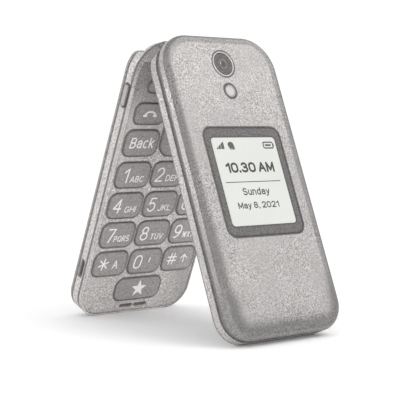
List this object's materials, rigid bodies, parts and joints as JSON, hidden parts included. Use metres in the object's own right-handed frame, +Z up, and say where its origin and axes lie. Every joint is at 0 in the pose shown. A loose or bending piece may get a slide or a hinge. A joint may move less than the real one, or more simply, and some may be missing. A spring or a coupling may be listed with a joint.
{
  "type": "flip phone",
  "caption": "Hinged clamshell phone standing open like a tent, with an outer display, camera and flash on the lid and a large-key keypad inside.",
  "frame": {"origin": "on the ground, under the centre of the standing phone's box", "axes": "+X along the hinge, to the right when facing the lid's outer face; the lid's outer face looks towards -Y; +Z up"},
  "size_m": [0.0536, 0.097, 0.1055],
  "materials": {
    "shell": "fine speckled satin",
    "inner_frame": "matte",
    "keys": "fine matte with light legends",
    "window": "polished",
    "display": "smooth",
    "lens_glass": "polished",
    "flash_lens": "frosted",
    "trim_ring": "satin",
    "black_module": "matte",
    "board": "satin",
    "steel": "satin",
    "bush": "turned",
    "antenna": "thin foil",
    "contacts": "plated",
    "flex": "satin film",
    "rubber": "matte",
    "battery": "satin wrap"
  },
  "bodies": {
    "base": {"base_front_housing": "shell", "base_rear_housing": "inner_frame", "base_screws": "steel", "battery": "battery", "battery_contacts": "contacts", "charging_socket": "steel", "dome_sheet": "steel", "keypad_mat": "rubber", "main_board": "board", "shield_cans": "steel", "vibration_motor": "steel", "loudspeaker": "black_module", "microphone": "black_module", "antenna": "antenna", "hinge_cam_shaft": "steel", "hinge_pivot_bush": "bush"},
    "lid": {"lid_outer_housing": "shell", "lid_mid_frame": "inner_frame", "lid_inner_housing": "shell", "outer_window": "window", "outer_display_panel": "display", "outer_display_holder": "inner_frame", "camera_ring": "trim_ring", "camera_glass": "lens_glass", "camera_module": "black_module", "flash_ring": "trim_ring", "flash_lens": "flash_lens", "lid_board": "board", "main_window": "window", "main_display_panel": "display", "earpiece": "black_module", "earpiece_mesh": "steel", "lid_magnet": "steel", "lid_bumpers": "rubber", "lid_screws": "steel", "hinge_cartridge": "steel", "hinge_flex": "flex"},
    "battery_cover": {"battery_cover": "shell"},
    "volume_rocker": {"volume_rocker": "shell"},
    "key_0": {"key_0": "keys"},
    "key_1": {"key_1": "keys"},
    "key_2": {"key_2": "keys"},
    "key_3": {"key_3": "keys"},
    "key_4": {"key_4": "keys"},
    "key_5": {"key_5": "keys"},
    "key_6": {"key_6": "keys"},
    "key_7": {"key_7": "keys"},
    "key_8": {"key_8": "keys"},
    "key_9": {"key_9": "keys"},
    "key_asterisk": {"key_asterisk": "keys"},
    "key_hash": {"key_hash": "keys"},
    "key_star": {"key_star": "keys"},
    "key_call": {"key_call": "keys"},
    "key_end": {"key_end": "keys"},
    "key_back": {"key_back": "keys"},
    "key_menu": {"key_menu": "keys"},
    "key_soft_left": {"key_soft_left": "keys"},
    "key_soft_right": {"key_soft_right": "keys"},
    "nav_ring": {"nav_ring": "keys"},
    "key_select": {"key_select": "keys"}
  },
  "joints": [
    {"name": "lid_hinge", "type": "hinge", "parent": "base", "child": "lid", "pos_m": [0.0003, -0.00021, 0.09971], "axis": [-1, 0, 0], "range_deg": [-44.5, 113.5]},
    {"name": "battery_cover_release", "type": "slide", "parent": "base", "child": "battery_cover", "axis": [0, 0.9255, 0.3786], "range_m": [0, 0.012]},
    {"name": "volume_rocker_tilt", "type": "hinge", "parent": "base", "child": "volume_rocker", "pos_m": [-0.02405, 0.01055, 0.08423], "axis": [0, -0.9255, -0.3786], "range_deg": [-2.5, 2.5], "stiffness_Nm_per_rad": 0.1},
    {"name": "key_0_press", "type": "slide", "parent": "base", "child": "key_0", "axis": [0, 0.9255, 0.3786], "range_m": [0, 0.0003], "stiffness_N_per_m": 2500},
    {"name": "key_1_press", "type": "slide", "parent": "base", "child": "key_1", "axis": [0, 0.9255, 0.3786], "range_m": [0, 0.0003], "stiffness_N_per_m": 2500},
    {"name": "key_2_press", "type": "slide", "parent": "base", "child": "key_2", "axis": [0, 0.9255, 0.3786], "range_m": [0, 0.0003], "stiffness_N_per_m": 2500},
    {"name": "key_3_press", "type": "slide", "parent": "base", "child": "key_3", "axis": [0, 0.9255, 0.3786], "range_m": [0, 0.0003], "stiffness_N_per_m": 2500},
    {"name": "key_4_press", "type": "slide", "parent": "base", "child": "key_4", "axis": [0, 0.9255, 0.3786], "range_m": [0, 0.0003], "stiffness_N_per_m": 2500},
    {"name": "key_5_press", "type": "slide", "parent": "base", "child": "key_5", "axis": [0, 0.9255, 0.3786], "range_m": [0, 0.0003], "stiffness_N_per_m": 2500},
    {"name": "key_6_press", "type": "slide", "parent": "base", "child": "key_6", "axis": [0, 0.9255, 0.3786], "range_m": [0, 0.0003], "stiffness_N_per_m": 2500},
    {"name": "key_7_press", "type": "slide", "parent": "base", "child": "key_7", "axis": [0, 0.9255, 0.3786], "range_m": [0, 0.0003], "stiffness_N_per_m": 2500},
    {"name": "key_8_press", "type": "slide", "parent": "base", "child": "key_8", "axis": [0, 0.9255, 0.3786], "range_m": [0, 0.0003], "stiffness_N_per_m": 2500},
    {"name": "key_9_press", "type": "slide", "parent": "base", "child": "key_9", "axis": [0, 0.9255, 0.3786], "range_m": [0, 0.0003], "stiffness_N_per_m": 2500},
    {"name": "key_asterisk_press", "type": "slide", "parent": "base", "child": "key_asterisk", "axis": [0, 0.9255, 0.3786], "range_m": [0, 0.0003], "stiffness_N_per_m": 2500},
    {"name": "key_hash_press", "type": "slide", "parent": "base", "child": "key_hash", "axis": [0, 0.9255, 0.3786], "range_m": [0, 0.0003], "stiffness_N_per_m": 2500},
    {"name": "key_star_press", "type": "slide", "parent": "base", "child": "key_star", "axis": [0, 0.9255, 0.3786], "range_m": [0, 0.0003], "stiffness_N_per_m": 2500},
    {"name": "key_call_press", "type": "slide", "parent": "base", "child": "key_call", "axis": [0, 0.9255, 0.3786], "range_m": [0, 0.0003], "stiffness_N_per_m": 2500},
    {"name": "key_end_press", "type": "slide", "parent": "base", "child": "key_end", "axis": [0, 0.9255, 0.3786], "range_m": [0, 0.0003], "stiffness_N_per_m": 2500},
    {"name": "key_back_press", "type": "slide", "parent": "base", "child": "key_back", "axis": [0, 0.9255, 0.3786], "range_m": [0, 0.0003], "stiffness_N_per_m": 2500},
    {"name": "key_menu_press", "type": "slide", "parent": "base", "child": "key_menu", "axis": [0, 0.9255, 0.3786], "range_m": [0, 0.0003], "stiffness_N_per_m": 2500},
    {"name": "key_soft_left_press", "type": "slide", "parent": "base", "child": "key_soft_left", "axis": [0, 0.9255, 0.3786], "range_m": [0, 0.0003], "stiffness_N_per_m": 2500},
    {"name": "key_soft_right_press", "type": "slide", "parent": "base", "child": "key_soft_right", "axis": [0, 0.9255, 0.3786], "range_m": [0, 0.0003], "stiffness_N_per_m": 2500},
    {"name": "nav_ring_press", "type": "slide", "parent": "base", "child": "nav_ring", "axis": [0, 0.9255, 0.3786], "range_m": [0, 0.0003], "stiffness_N_per_m": 2500},
    {"name": "key_select_press", "type": "slide", "parent": "base", "child": "key_select", "axis": [0, 0.9255, 0.3786], "range_m": [0, 0.0003], "stiffness_N_per_m": 2500}
  ]
}
